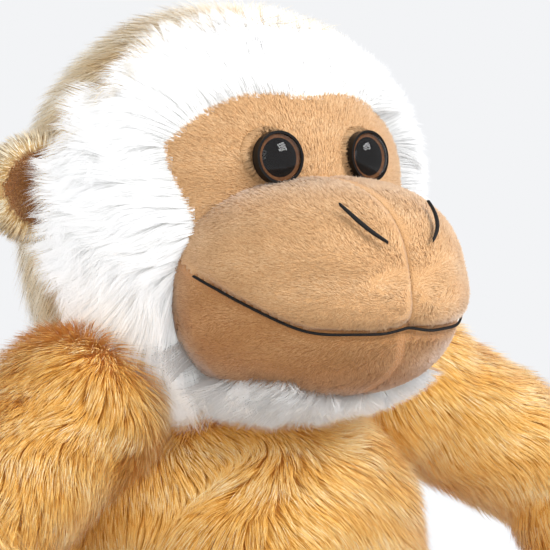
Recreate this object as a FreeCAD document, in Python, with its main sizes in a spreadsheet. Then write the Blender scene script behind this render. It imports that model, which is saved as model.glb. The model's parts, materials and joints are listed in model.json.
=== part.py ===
import FreeCAD, Part
import math
import os

# Stuffed monkey, sitting: long-pile golden body, white ruff round a short-pile
# face, domed safety eyes. Millimetres, +Z up, the toy looks along -Y and its
# own right-hand side is -X. The origin is the middle of the flat seat.

doc = FreeCAD.newDocument("StuffedMonkey")
sheet = doc.addObject("Spreadsheet::Sheet", "Sizes")

# Driving dimensions: alias, value in mm, meaning.
DIMENSIONS = [
    ("skin", 2.0, "thickness of the knitted backing with its flattened pile"),
    ("seam_gap", 0.3, "clearance between neighbouring soft pieces"),
    ("head_half_width", 54.0, "head, side to side"),
    ("head_half_depth", 46.0, "head, front to back"),
    ("head_half_height", 52.0, "head, top to bottom"),
    ("head_middle_y", 6.0, "middle of the head behind the origin"),
    ("head_middle_z", 176.0, "middle of the head above the seat"),
    ("muzzle_half_width", 40.0, "muzzle, side to side"),
    ("muzzle_half_depth", 40.0, "muzzle, front to back"),
    ("muzzle_half_height", 30.0, "muzzle, top to bottom"),
    ("muzzle_middle_y", -35.0, "middle of the muzzle"),
    ("muzzle_middle_z", 156.5, "middle of the muzzle above the seat"),
    ("face_half_width", 38.0, "short-pile face patch, side to side"),
    ("face_half_height", 24.0, "short-pile face patch, top to bottom"),
    ("face_middle_z", 183.5, "middle of the face patch above the seat"),
    ("ruff_back_y", 3.0, "seam between the ruff and the back of the head"),
    ("mouth_corner_y", -37.0, "where the mouth line ends on the cheek"),
    ("mouth_corner_z", 161.0, "height of the mouth corner"),
    ("mouth_tilt", 20.0, "degrees the mouth line drops towards the front"),
    ("thread_width", 1.6, "embroidered thread line"),
    ("thread_height", 0.8, "embroidered thread standing off the pile backing"),
    ("eye_radius", 7.0, "safety eye"),
    ("eye_offset", 14.7, "eye centre from the midline"),
    ("eye_height", 191.0, "eye centre above the seat"),
    ("eye_rim", 0.7, "black rim left round the clear dome"),
    ("eye_cup_depth", 1.6, "moulded back of the eye"),
    ("iris_depth", 0.35, "printed iris layer"),
    ("pupil_radius", 5.2, "printed pupil"),
    ("dome_height", 3.4, "clear dome over the iris"),
    ("shank_radius", 1.6, "stem through the fabric"),
    ("shank_length", 11.0, "stem through the fabric"),
    ("washer_radius", 8.0, "locking washer on the stem"),
    ("washer_thickness", 1.5, "locking washer on the stem"),
    ("ear_half_width", 13.0, "ear, outward"),
    ("ear_half_depth", 4.5, "ear, thickness"),
    ("ear_half_height", 12.5, "ear, upward"),
    ("ear_out", 58.0, "ear centre from the midline"),
    ("ear_y", 10.0, "ear centre, front to back"),
    ("ear_z", 183.0, "ear centre above the seat"),
    ("neck_radius", 22.0, "stuffed neck"),
    ("neck_y", 6.0, "neck centre, front to back"),
    ("neck_z", 120.0, "neck centre above the seat"),
    ("neck_top", 134.0, "flat join between neck and head"),
    ("seat_half_width", 40.0, "flat seat panel, side to side"),
    ("seat_half_depth", 31.0, "flat seat panel, front to back"),
    ("panel_seam_y", 6.0, "side seam between chest and back panels"),
    ("shoulder_x", 56.0, "shoulder centre from the midline"),
    ("shoulder_y", -4.0, "shoulder centre, front to back"),
    ("shoulder_z", 124.0, "shoulder centre above the seat"),
    ("shoulder_radius", 19.5, "ball-shaped top of the sleeve"),
    ("upper_arm_length", 56.0, "shoulder to elbow"),
    ("upper_arm_radius", 17.5, "upper arm at the shoulder"),
    ("upper_arm_end_radius", 16.5, "upper arm above the elbow"),
    ("elbow_radius", 16.0, "ball-shaped elbow of the forearm"),
    ("elbow_setback", 12.0, "upper sleeve stops this far before the elbow"),
    ("forearm_length", 70.0, "elbow to wrist"),
    ("forearm_radius", 15.0, "forearm below the elbow"),
    ("wrist_radius", 11.5, "forearm at the wrist"),
    ("hand_half_width", 13.0, "hand, across"),
    ("hand_half_depth", 8.5, "hand, thickness"),
    ("hand_half_length", 21.0, "hand, along"),
    ("thumb_half_length", 9.0, "thumb, along"),
    ("thumb_half_width", 5.2, "thumb, across"),
    ("hip_x", 41.0, "hip centre from the midline"),
    ("hip_y", -34.0, "hip centre, front to back"),
    ("hip_z", 22.0, "hip centre above the seat"),
    ("hip_radius", 21.0, "ball-shaped top of the leg"),
    ("leg_length", 72.0, "hip to ankle"),
    ("leg_radius", 19.0, "leg at the hip"),
    ("ankle_radius", 14.5, "leg at the ankle"),
    ("foot_half_width", 14.0, "foot, across"),
    ("foot_half_depth", 12.0, "foot, sole to top"),
    ("foot_half_length", 25.0, "foot, heel to toe"),
    ("sole_step", 6.0, "sole seam in front of the foot's middle"),
]

VALUE = {}
for row, (alias, value, meaning) in enumerate(DIMENSIONS, start=1):
    sheet.set("A%d" % row, meaning)
    sheet.set("B%d" % row, "%s" % value)
    sheet.setAlias("B%d" % row, alias)
    VALUE[alias] = value

# Torso cross-sections from the seat up: height, half width, half depth.
TORSO_RINGS = [
    ("seat", 0.0, 41.0, 32.0),
    ("buttock", 14.0, 54.0, 43.0),
    ("hip", 38.0, 58.0, 47.0),
    ("waist", 72.0, 54.0, 43.0),
    ("chest", 98.0, 51.0, 36.0),
    ("shoulder", 114.0, 41.0, 26.0),
    ("collar", 124.0, 19.0, 14.0),
]
for ring, height, half_width, half_depth in TORSO_RINGS:
    for suffix, value in (("z", height), ("rx", half_width), ("ry", half_depth)):
        row += 1
        alias = "torso_%s_%s" % (ring, suffix)
        sheet.set("A%d" % row, "torso ring at the %s" % ring)
        sheet.set("B%d" % row, "%s" % value)
        sheet.setAlias("B%d" % row, alias)
        VALUE[alias] = value
doc.recompute()

Vector = FreeCAD.Vector
SIDES = (("right", -1.0), ("left", 1.0))
FAR = 400.0
SEAM = VALUE["seam_gap"]
SKIN = VALUE["skin"]


def bind(obj, **sizes):
    """Drive each named property by an expression on the sheet."""
    for prop, formula in sizes.items():
        obj.setExpression(prop, formula)
    return obj


def make(kind, name, place=None, **sizes):
    """Add one primitive with a label, a placement and bound sizes."""
    obj = doc.addObject(kind, name)
    obj.Label = name
    if place is not None:
        obj.Placement = place
    return bind(obj, **sizes)


def at(x, y, z, rotation=None):
    return FreeCAD.Placement(Vector(x, y, z), rotation or FreeCAD.Rotation())


def along(start, direction):
    """Placement whose local +Z runs along direction from start."""
    return FreeCAD.Placement(start, FreeCAD.Rotation(Vector(0, 0, 1), direction))


def ellipsoid(name, place, half_x, half_y, half_z, inset=0.0):
    """Full ellipsoid; inset shrinks (or, when negative, grows) every half size."""
    obj = make("Part::Ellipsoid", name, place,
               Radius1="%s - %s" % (half_z, inset),
               Radius2="%s - %s" % (half_x, inset),
               Radius3="%s - %s" % (half_y, inset))
    obj.Angle1, obj.Angle2, obj.Angle3 = -90, 90, 360
    return obj


def ball(name, centre, radius, inset=0.0):
    return make("Part::Sphere", name, at(*centre), Radius="%s - %s" % (radius, inset))


def box(name, place, low, high):
    """Axis-aligned block between two corners, moved by place; used to divide."""
    obj = make("Part::Box", name)
    obj.Length, obj.Width, obj.Height = [b - a for a, b in zip(low, high)]
    obj.Placement = place.multiply(at(*low))
    return obj


def cut(name, base, *tools):
    """base minus each tool in turn; the last result carries the name."""
    for number, tool in enumerate(tools, start=1):
        label = name if number == len(tools) else "%s_step%d" % (name, number)
        result = make("Part::Cut", label)
        result.Base, result.Tool = base, tool
        base = result
    return base


def common(name, first, second):
    result = make("Part::Common", name)
    result.Base, result.Tool = first, second
    return result


def fuse(name, *shapes):
    result = make("Part::MultiFuse", name)
    result.Shapes = list(shapes)
    return result


# ---------------------------------------------------------------- head
head_place = at(0, VALUE["head_middle_y"], VALUE["head_middle_z"])
HEAD = ("Sizes.head_half_width", "Sizes.head_half_depth", "Sizes.head_half_height")
head_outside = ellipsoid("head_outside", head_place, *HEAD)
head_inside = ellipsoid("head_inside", head_place, *HEAD, inset=SKIN)
head_filling = ellipsoid("head_filling", head_place, *HEAD, inset=SKIN + SEAM)
head_clear = ellipsoid("head_clear", head_place, *HEAD, inset=-SEAM)

muzzle_place = at(0, VALUE["muzzle_middle_y"], VALUE["muzzle_middle_z"])
MUZZLE = ("Sizes.muzzle_half_width", "Sizes.muzzle_half_depth", "Sizes.muzzle_half_height")
muzzle_outside = ellipsoid("muzzle_outside", muzzle_place, *MUZZLE)
muzzle_inside = ellipsoid("muzzle_inside", muzzle_place, *MUZZLE, inset=SKIN)
muzzle_filling = ellipsoid("muzzle_filling", muzzle_place, *MUZZLE, inset=SKIN + SEAM)
muzzle_clear = ellipsoid("muzzle_clear", muzzle_place, *MUZZLE, inset=-SEAM)

neck_plane = VALUE["neck_top"] + SEAM
under_head = box("under_head", at(0, 0, 0), (-FAR, -FAR, 0), (FAR, FAR, neck_plane))
under_filling = box("under_filling", at(0, 0, 0), (-FAR, -FAR, 0), (FAR, FAR, neck_plane + SEAM))
head_shell = cut("head_shell", head_outside, head_inside, under_head)

# The face patch is the part of the shell inside a long ellipsoid that points
# forwards; the ruff is what is left in front of the ears' seam.
face_place = at(0, -30, VALUE["face_middle_z"])
face_region = ellipsoid("face_region", face_place, "Sizes.face_half_width", "70",
                        "Sizes.face_half_height")
face_region_clear = ellipsoid("face_region_clear", face_place, "Sizes.face_half_width",
                              "70", "Sizes.face_half_height", inset=-SEAM)
ruff_back = VALUE["ruff_back_y"]
behind_ruff = box("behind_ruff", at(0, 0, 0), (-FAR, ruff_back, 0), (FAR, FAR, FAR))
before_back = box("before_back", at(0, 0, 0), (-FAR, ruff_back + SEAM, 0), (FAR, FAR, FAR))
front_half = box("front_half", at(0, 0, 0), (-FAR, -FAR, 0), (FAR, 0, FAR))


def eye_place(side):
    """Local +Z looks out of the face at the eye; the base sits on the backing."""
    x = side * VALUE["eye_offset"]
    z = VALUE["eye_height"]
    a, b, c = [VALUE[k] for k in ("head_half_width", "head_half_depth", "head_half_height")]
    up = z - VALUE["head_middle_z"]
    depth = b * math.sqrt(1 - (x / a) ** 2 - (up / c) ** 2)
    y = VALUE["head_middle_y"] - depth
    # The eyes look forwards, turned a little towards the normal of the face.
    normal = Vector(x / a ** 2, -depth / b ** 2, up / c ** 2)
    normal.normalize()
    outward = normal + Vector(0, -1.2, 0)
    outward.normalize()
    return along(Vector(x, y, z) + outward * 0.9, outward)


def shifted(place, lift):
    return place.multiply(at(0, 0, lift))


stem_holes = []
washer_pockets = []
for side_name, side in SIDES:
    here = eye_place(side)
    stem_holes.append(make("Part::Cylinder", "eye_stem_hole_" + side_name, shifted(here, -14),
                           Radius="Sizes.shank_radius + Sizes.seam_gap", Height="13.8"))
    washer_pockets.append(make("Part::Cylinder", "washer_pocket_" + side_name,
                               shifted(here, -13), Radius="Sizes.washer_radius + 0.6",
                               Height="13"))

face_piece = common("face_piece", head_shell, face_region)
face_front = common("face_front", face_piece, front_half)
eye_seats = [make("Part::Cylinder", "eye_seat_" + name, shifted(eye_place(side), -SEAM),
                  Radius="Sizes.eye_radius + Sizes.seam_gap", Height="8")
             for name, side in SIDES]
face_patch = cut("face_patch", face_front, muzzle_clear, stem_holes[0], stem_holes[1],
                 eye_seats[0], eye_seats[1])

ruff_front = common("ruff_front", face_region_clear, front_half)
face_ruff = cut("face_ruff", head_shell, behind_ruff, ruff_front, muzzle_clear)
head_back_panel = common("head_back_panel", head_shell, before_back)
head_stuffing = cut("head_stuffing", head_filling, under_filling,
                    washer_pockets[0], washer_pockets[1])

# ---------------------------------------------------------------- muzzle
mouth = FreeCAD.Placement(
    Vector(0, VALUE["mouth_corner_y"], VALUE["mouth_corner_z"]),
    FreeCAD.Rotation(Vector(1, 0, 0), VALUE["mouth_tilt"]))
half_seam = SEAM / 2
# The chin is relieved by a ball round the neck, so the neck can turn inside it.
NECK = (0, VALUE["neck_y"], VALUE["neck_z"])
chin_relief = ball("chin_relief", NECK, "Sizes.neck_radius", inset=-2.0)
muzzle_hollow = cut("muzzle_hollow", muzzle_outside, muzzle_inside, head_clear, chin_relief,
                    eye_seats[0], eye_seats[1])
muzzle_panels = []
for side_name, side in SIDES:
    low_x, high_x = sorted((side * half_seam, side * FAR))
    region = box("upper_region_" + side_name, mouth, (low_x, -FAR, half_seam),
                 (high_x, FAR, FAR))
    muzzle_panels.append(common("muzzle_panel_" + side_name, muzzle_hollow, region))
jaw_region = box("jaw_region", mouth, (-FAR, -FAR, -FAR), (FAR, FAR, -half_seam))
jaw_panel = common("jaw_panel", muzzle_hollow, jaw_region)
muzzle_stuffing = cut("muzzle_stuffing", muzzle_filling, head_inside, chin_relief)

# Mouth line: a flat ribbon of satin stitch lying on the muzzle along the seam.
thread_skin = ellipsoid("thread_skin", muzzle_place, *MUZZLE, inset=-VALUE["thread_height"])
thread_bed = ellipsoid("thread_bed", muzzle_place, *MUZZLE, inset=-0.05)
half_thread = VALUE["thread_width"] / 2
mouth_slab = box("mouth_slab", mouth, (-FAR, -FAR, -half_thread), (FAR, 0, half_thread))
mouth_thread = cut("mouth_thread", common("mouth_band", thread_skin, mouth_slab), thread_bed)


def on_muzzle(x, z, proud=0.0):
    """Point of the muzzle surface in front, at a width and height."""
    a, b, c = [VALUE[k] for k in ("muzzle_half_width", "muzzle_half_depth",
                                  "muzzle_half_height")]
    up = z - VALUE["muzzle_middle_z"]
    depth = b * math.sqrt(1 - (x / a) ** 2 - (up / c) ** 2)
    return Vector(x, VALUE["muzzle_middle_y"] - depth - proud, z)


# Nostrils: two tapered satin stitches leaning together towards the midline.
nostril_threads = []
for side_name, side in SIDES:
    top = on_muzzle(side * 14.2, 177.3, proud=0.45)
    bottom = on_muzzle(side * 7.5, 168.6, proud=0.45)
    stitch = make("Part::Cone", "nostril_stitch_" + side_name, along(top, bottom - top),
                  Radius1="Sizes.thread_width * 0.3", Radius2="Sizes.thread_width * 0.55")
    stitch.Height = (bottom - top).Length
    nostril_threads.append(cut("nostril_thread_" + side_name, stitch, thread_bed))

# ---------------------------------------------------------------- ears
ear_parts = []
EAR = ("Sizes.ear_half_width", "Sizes.ear_half_depth", "Sizes.ear_half_height")
for side_name, side in SIDES:
    lean = FreeCAD.Rotation(Vector(0, 0, 1), side * 18)
    here = at(side * VALUE["ear_out"], VALUE["ear_y"], VALUE["ear_z"], lean)
    whole = ellipsoid("ear_whole_" + side_name, here, *EAR)
    lining = ellipsoid("ear_lining_" + side_name, here, "Sizes.ear_half_width - 3",
                       "Sizes.ear_half_depth - 1.6", "Sizes.ear_half_height - 3")
    rear = box("ear_rear_" + side_name, here, (-FAR, half_seam, -FAR), (FAR, FAR, FAR))
    front = box("ear_front_" + side_name, here, (-FAR, -FAR, -FAR), (FAR, -half_seam, FAR))
    ear_parts.append(cut("ear_back_" + side_name,
                         common("ear_rear_half_" + side_name, whole, rear), head_clear))
    ear_parts.append(cut("ear_inner_" + side_name,
                         common("ear_front_half_" + side_name, lining, front), head_clear))

# ---------------------------------------------------------------- eyes
eye_parts = []
for side_name, side in SIDES:
    here = eye_place(side)
    disc = make("Part::Cylinder", "eye_disc_" + side_name, here,
                Radius="Sizes.eye_radius", Height="Sizes.eye_cup_depth")
    rim = make("Part::Cylinder", "eye_rim_" + side_name, shifted(here, 1.2),
               Radius="Sizes.eye_radius", Height="Sizes.eye_cup_depth")
    bowl = make("Part::Cylinder", "eye_bowl_" + side_name, shifted(here, VALUE["eye_cup_depth"]),
                Radius="Sizes.eye_radius - Sizes.eye_rim", Height="4")
    shank = make("Part::Cylinder", "eye_shank_" + side_name,
                 shifted(here, -VALUE["shank_length"]),
                 Radius="Sizes.shank_radius", Height="Sizes.shank_length + 0.5")
    cup = cut("eye_cup_" + side_name,
              fuse("eye_moulding_" + side_name, disc, rim, shank), bowl)
    floor = VALUE["eye_cup_depth"] + 0.05
    ring = make("Part::Cylinder", "iris_disc_" + side_name, shifted(here, floor),
                Radius="Sizes.eye_radius - Sizes.eye_rim - 0.05", Height="Sizes.iris_depth")
    bore = make("Part::Cylinder", "iris_hole_" + side_name, shifted(here, floor - 1),
                Radius="Sizes.pupil_radius + 0.03", Height="4")
    iris = cut("eye_iris_" + side_name, ring, bore)
    pupil = make("Part::Cylinder", "eye_pupil_" + side_name, shifted(here, floor),
                 Radius="Sizes.pupil_radius", Height="Sizes.iris_depth")
    # Clear dome: an ellipsoid cap standing on the printed layer.
    crown = floor + VALUE["iris_depth"] + 0.05
    dome_body = ellipsoid("dome_body_" + side_name, shifted(here, crown),
                          "Sizes.eye_radius - Sizes.eye_rim - 0.05",
                          "Sizes.eye_radius - Sizes.eye_rim - 0.05", "Sizes.dome_height")
    above = box("dome_region_" + side_name, shifted(here, crown), (-20, -20, 0), (20, 20, 20))
    dome = common("eye_dome_" + side_name, dome_body, above)
    plate = make("Part::Cylinder", "washer_plate_" + side_name, shifted(here, -8.5),
                 Radius="Sizes.washer_radius", Height="Sizes.washer_thickness")
    hole = make("Part::Cylinder", "washer_hole_" + side_name, shifted(here, -12),
                Radius="Sizes.shank_radius + 0.05", Height="8")
    washer = cut("eye_washer_" + side_name, plate, hole)
    eye_parts += [cup, iris, pupil, dome, washer]

# ---------------------------------------------------------------- torso
def torso_loft(name, inset, floor_lift, roof_drop):
    """Lofted pear through the torso rings, shrunk by inset."""
    rings = []
    for ring, height, half_width, half_depth in TORSO_RINGS:
        lift = floor_lift if ring == "seat" else -roof_drop if ring == "collar" else 0.0
        wire = make("Part::Ellipse", "%s_%s" % (name, ring),
                    MajorRadius="Sizes.torso_%s_rx - %s" % (ring, inset),
                    MinorRadius="Sizes.torso_%s_ry - %s" % (ring, inset))
        wire.setExpression("Placement.Base.z", "Sizes.torso_%s_z + %s" % (ring, lift))
        rings.append(wire)
    loft = make("Part::Loft", name)
    loft.Sections = rings
    loft.Solid = True
    loft.Ruled = False
    return loft


neck_socket = ball("neck_socket", NECK, "Sizes.neck_radius", inset=-SEAM)
sockets = [neck_socket]
for side_name, side in SIDES:
    sockets.append(ball("armhole_" + side_name,
                        (side * VALUE["shoulder_x"], VALUE["shoulder_y"], VALUE["shoulder_z"]),
                        "Sizes.shoulder_radius", inset=-SEAM))
    sockets.append(ball("leg_opening_" + side_name,
                        (side * VALUE["hip_x"], VALUE["hip_y"], VALUE["hip_z"]),
                        "Sizes.hip_radius", inset=-SEAM))

torso_outside = torso_loft("torso_outside", 0.0, 0.0, 0.0)
torso_inside = torso_loft("torso_inside", SKIN, SKIN, SKIN)
torso_filling = torso_loft("torso_filling", SKIN + SEAM, SKIN + SEAM, SKIN + SEAM)

seat_oval = make("Part::Ellipse", "seat_oval", MajorRadius="Sizes.seat_half_width",
                 MinorRadius="Sizes.seat_half_depth")
seat_oval_clear = make("Part::Ellipse", "seat_oval_clear",
                       MajorRadius="Sizes.seat_half_width + Sizes.seam_gap",
                       MinorRadius="Sizes.seat_half_depth + Sizes.seam_gap")
seat_blocks = []
for name, oval, depth in (("seat_block", seat_oval, "Sizes.skin"),
                          ("seat_opening", seat_oval_clear, "Sizes.skin + 4")):
    block = make("Part::Extrusion", name)
    block.Base = oval
    block.DirMode = "Custom"
    block.Dir = Vector(0, 0, 1)
    block.Solid = True
    block.setExpression("LengthFwd", depth)
    seat_blocks.append(block)

torso_shell = cut("torso_shell", torso_outside, torso_inside, seat_blocks[1], *sockets)
seat_panel = cut("seat_panel", seat_blocks[0], *[s for s in sockets if "leg" in s.Label])
torso_stuffing = cut("torso_stuffing", torso_filling, *sockets)

split_y = VALUE["panel_seam_y"]
chest_panel = common("chest_panel", torso_shell,
                     box("chest_region", at(0, 0, 0), (-FAR, -FAR, -1), (FAR, split_y, FAR)))
back_panels = []
for side_name, side in SIDES:
    low_x, high_x = sorted((side * half_seam, side * FAR))
    region = box("back_region_" + side_name, at(0, 0, 0), (low_x, split_y + SEAM, -1),
                 (high_x, FAR, FAR))
    back_panels.append(common("back_panel_" + side_name, torso_shell, region))

# ---------------------------------------------------------------- neck
over_neck = box("over_neck", at(0, 0, 0), (-FAR, -FAR, VALUE["neck_top"]), (FAR, FAR, FAR))
over_neck_filling = box("over_neck_filling", at(0, 0, 0),
                        (-FAR, -FAR, VALUE["neck_top"] - SEAM), (FAR, FAR, FAR))
neck_ball = ball("neck_ball", NECK, "Sizes.neck_radius")
neck_hollow = ball("neck_hollow", NECK, "Sizes.neck_radius", inset=SKIN)
neck_sleeve = cut("neck_sleeve", neck_ball, neck_hollow, over_neck)
neck_stuffing = cut("neck_stuffing", ball("neck_filling", NECK, "Sizes.neck_radius",
                                          inset=SKIN + SEAM), over_neck_filling)

# ---------------------------------------------------------------- limbs


def limb(name, start, direction, cap, root, tip, length, inset=0.0, extra=0.0):
    """Ball-topped tapered tube; the ball is the joint, the tip is cut flat."""
    head = ball(name + "_ball", start, cap, inset)
    cone = make("Part::Cone", name + "_taper", along(start, direction),
                Radius1="%s - %s" % (root, inset), Radius2="%s - %s" % (tip, inset),
                Height="%s + %s" % (length, extra))
    return fuse(name, head, cone)


def unit(x, y, z):
    vector = Vector(x, y, z)
    vector.normalize()
    return vector


limb_parts = []
for side_name, side in SIDES:
    shoulder = Vector(side * VALUE["shoulder_x"], VALUE["shoulder_y"], VALUE["shoulder_z"])
    upper_way = unit(side * 0.82, -0.28, -0.50)
    elbow = shoulder + upper_way * VALUE["upper_arm_length"]
    fore_way = unit(side * 0.02, -0.60, -0.80)
    wrist = elbow + fore_way * VALUE["forearm_length"]

    UPPER = ("Sizes.shoulder_radius", "Sizes.upper_arm_radius", "Sizes.upper_arm_end_radius",
             "Sizes.upper_arm_length - Sizes.elbow_setback")
    elbow_socket = ball("elbow_socket_" + side_name, elbow, "Sizes.elbow_radius", inset=-SEAM)
    outside = limb("upper_arm_outside_" + side_name, shoulder, upper_way, *UPPER)
    inside = limb("upper_arm_inside_" + side_name, shoulder, upper_way, *UPPER,
                  inset=SKIN, extra=3.0)
    filling = limb("upper_arm_filling_" + side_name, shoulder, upper_way, *UPPER,
                   inset=SKIN + SEAM)
    limb_parts.append(cut("upper_arm_sleeve_" + side_name, outside, inside, elbow_socket))
    limb_parts.append(cut("upper_arm_stuffing_" + side_name, filling, elbow_socket))

    FORE = ("Sizes.elbow_radius", "Sizes.forearm_radius", "Sizes.wrist_radius",
            "Sizes.forearm_length")
    outside = limb("forearm_outside_" + side_name, elbow, fore_way, *FORE)
    inside = limb("forearm_inside_" + side_name, elbow, fore_way, *FORE,
                  inset=SKIN, extra=3.0)
    limb_parts.append(cut("forearm_sleeve_" + side_name, outside, inside))
    limb_parts.append(limb("forearm_stuffing_" + side_name, elbow, fore_way, *FORE,
                           inset=SKIN + SEAM))

    # Hand: a flattened mitten with a thumb on the inner side, palm facing down.
    across = unit(*(Vector(0, 0, 1).cross(fore_way)))
    palm = across.cross(fore_way)
    turn = FreeCAD.Rotation(across, palm, fore_way, "ZXY")
    middle = wrist + fore_way * 16.0
    hand_frame = FreeCAD.Placement(middle, turn)
    thumb_way = unit(*(fore_way * 0.75 - across * side * 0.66))
    thumb_middle = middle - across * side * 11.5 - fore_way * 1.0
    thumb_frame = along(thumb_middle, thumb_way)
    before_wrist = box("before_wrist_" + side_name, along(wrist, fore_way),
                       (-FAR, -FAR, -FAR), (FAR, FAR, SEAM))
    MITTEN = ("Sizes.hand_half_width", "Sizes.hand_half_depth", "Sizes.hand_half_length")
    THUMB = ("Sizes.thumb_half_width", "Sizes.thumb_half_width", "Sizes.thumb_half_length")
    layers = []
    for layer, inset in (("outside", 0.0), ("inside", SKIN), ("filling", SKIN + SEAM)):
        layers.append(fuse("hand_%s_%s" % (layer, side_name),
                           ellipsoid("mitten_%s_%s" % (layer, side_name), hand_frame,
                                     *MITTEN, inset=inset),
                           ellipsoid("thumb_%s_%s" % (layer, side_name), thumb_frame,
                                     *THUMB, inset=inset)))
    limb_parts.append(cut("hand_skin_" + side_name, layers[0], layers[1], before_wrist))
    limb_parts.append(cut("hand_stuffing_" + side_name, layers[2], before_wrist))

    # Leg and foot: the leg lies forwards on the ground and the foot stands up,
    # its round back seated in the end of the leg.
    hip = Vector(side * VALUE["hip_x"], VALUE["hip_y"], VALUE["hip_z"])
    leg_way = unit(side * 0.33, -0.943, -0.02)
    foot_turn = FreeCAD.Rotation(Vector(0, 0, 1), side * 19.0).multiply(
        FreeCAD.Rotation(Vector(1, 0, 0), 8.0))
    foot_middle = hip + leg_way * (VALUE["leg_length"] + 6.0) + Vector(0, 0, 7.5)
    foot_frame = FreeCAD.Placement(foot_middle, foot_turn)
    FOOT = ("Sizes.foot_half_width", "Sizes.foot_half_depth", "Sizes.foot_half_length")
    foot_outside = ellipsoid("foot_outside_" + side_name, foot_frame, *FOOT)
    foot_inside = ellipsoid("foot_inside_" + side_name, foot_frame, *FOOT, inset=SKIN)
    foot_clear = ellipsoid("foot_clear_" + side_name, foot_frame, *FOOT, inset=-SEAM)
    foot_stuffing = ellipsoid("foot_stuffing_" + side_name, foot_frame, *FOOT,
                              inset=SKIN + SEAM)
    foot_shell = cut("foot_shell_" + side_name, foot_outside, foot_inside)
    step = VALUE["sole_step"]
    sole_region = box("sole_region_" + side_name, foot_frame, (-FAR, -FAR, -FAR),
                      (FAR, -step, FAR))
    instep_region = box("instep_region_" + side_name, foot_frame,
                        (-FAR, -step + SEAM, -FAR), (FAR, FAR, FAR))
    limb_parts.append(common("foot_sole_" + side_name, foot_shell, sole_region))
    limb_parts.append(common("foot_upper_" + side_name, foot_shell, instep_region))
    limb_parts.append(foot_stuffing)

    LEG = ("Sizes.hip_radius", "Sizes.leg_radius", "Sizes.ankle_radius", "Sizes.leg_length")
    outside = limb("leg_outside_" + side_name, hip, leg_way, *LEG)
    inside = limb("leg_inside_" + side_name, hip, leg_way, *LEG, inset=SKIN, extra=3.0)
    filling = limb("leg_filling_" + side_name, hip, leg_way, *LEG, inset=SKIN + SEAM)
    limb_parts.append(cut("leg_sleeve_" + side_name, outside, inside, foot_clear))
    limb_parts.append(cut("leg_stuffing_" + side_name, filling, foot_clear))

doc.recompute()

PIECES = [face_patch, face_ruff, head_back_panel, head_stuffing]
PIECES += muzzle_panels + [jaw_panel, muzzle_stuffing, mouth_thread]
PIECES += nostril_threads + ear_parts + eye_parts
PIECES += [chest_panel] + back_panels + [seat_panel, torso_stuffing]
PIECES += [neck_sleeve, neck_stuffing] + limb_parts

os.makedirs("parts", exist_ok=True)
for obj in doc.Objects:
    if "Invalid" in obj.State or "Error" in obj.State:
        raise RuntimeError("%s is in state %s" % (obj.Label, obj.State))
for piece in PIECES:
    shape = piece.Shape
    if shape.isNull() or not shape.isValid():
        raise RuntimeError("%s has no valid solid" % piece.Label)
    print("%-26s solids %d volume %9.1f" % (piece.Label, len(shape.Solids), shape.Volume))
    shape.exportStep("parts/%s.step" % piece.Label)
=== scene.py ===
# %% [markdown]
# # A long-haired plush monkey
# The toy is a set of sewn skins around filling. Some are long pile, such as the
# ruff and the body, and some are short pile, such as the face. Blender's hair
# system makes curves that only a renderer understands, so here each strand is a
# thin tapered blade of real mesh. The pile then keeps its shape wherever the
# model goes. The first cell loads the frame that everything is placed by.

import json
import math

import bpy
import numpy as np
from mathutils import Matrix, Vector


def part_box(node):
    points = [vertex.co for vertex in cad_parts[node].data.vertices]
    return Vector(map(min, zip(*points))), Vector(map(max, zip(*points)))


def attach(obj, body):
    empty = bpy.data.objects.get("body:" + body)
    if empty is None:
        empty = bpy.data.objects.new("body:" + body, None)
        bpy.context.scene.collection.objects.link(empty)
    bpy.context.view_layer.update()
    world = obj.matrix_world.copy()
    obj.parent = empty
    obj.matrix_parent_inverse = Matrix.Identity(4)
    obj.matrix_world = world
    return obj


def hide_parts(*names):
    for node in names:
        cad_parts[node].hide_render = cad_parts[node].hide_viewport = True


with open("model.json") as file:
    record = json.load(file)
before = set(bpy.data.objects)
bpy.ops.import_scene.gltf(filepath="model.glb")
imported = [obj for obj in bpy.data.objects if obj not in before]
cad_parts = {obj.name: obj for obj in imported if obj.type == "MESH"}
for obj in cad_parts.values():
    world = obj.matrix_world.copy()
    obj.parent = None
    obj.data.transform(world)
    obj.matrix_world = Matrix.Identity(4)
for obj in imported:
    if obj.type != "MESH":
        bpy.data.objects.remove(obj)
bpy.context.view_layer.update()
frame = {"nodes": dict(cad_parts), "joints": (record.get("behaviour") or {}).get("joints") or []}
MM = 0.001
FLOOR = 0.0
SIDES = (("right", -1), ("left", 1))

# %% [markdown]
# Most places come from the frame's own boxes. A helper turns a node's box into its
# middle and its half sizes, as arrays that can be added and scaled at once.

# %% Measure the frame


def middle_of(node):
    """Middle and half size of a node's box."""
    low, high = [np.array(corner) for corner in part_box(node)]
    return (low + high) / 2, (high - low) / 2


pivots = {joint["name"]: np.array(joint["pos_m"]) for joint in frame["joints"]}
print("joints:", ", ".join(pivots))

# %% [markdown]
# Shader maths reads best as ordinary Python. This class wraps one output socket,
# so that `clouds * 0.7 + 0.3 * fibres` adds the Math nodes by itself. What is known
# beforehand stays in Python, and only what changes over a surface becomes nodes.

# %% Sockets that can be calculated with


class Value:
    """An output socket of a material that takes part in expressions."""

    def __init__(self, recipe, socket):
        self.recipe = recipe
        self.socket = socket

    def _with(self, operation, first, second):
        return self.recipe.node("ShaderNodeMath", {"operation": operation}, {0: first, 1: second})

    def __add__(self, other):
        return self._with("ADD", self, other)

    def __radd__(self, other):
        return self._with("ADD", other, self)

    def __mul__(self, other):
        return self._with("MULTIPLY", self, other)

    def __rmul__(self, other):
        return self._with("MULTIPLY", other, self)


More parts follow.
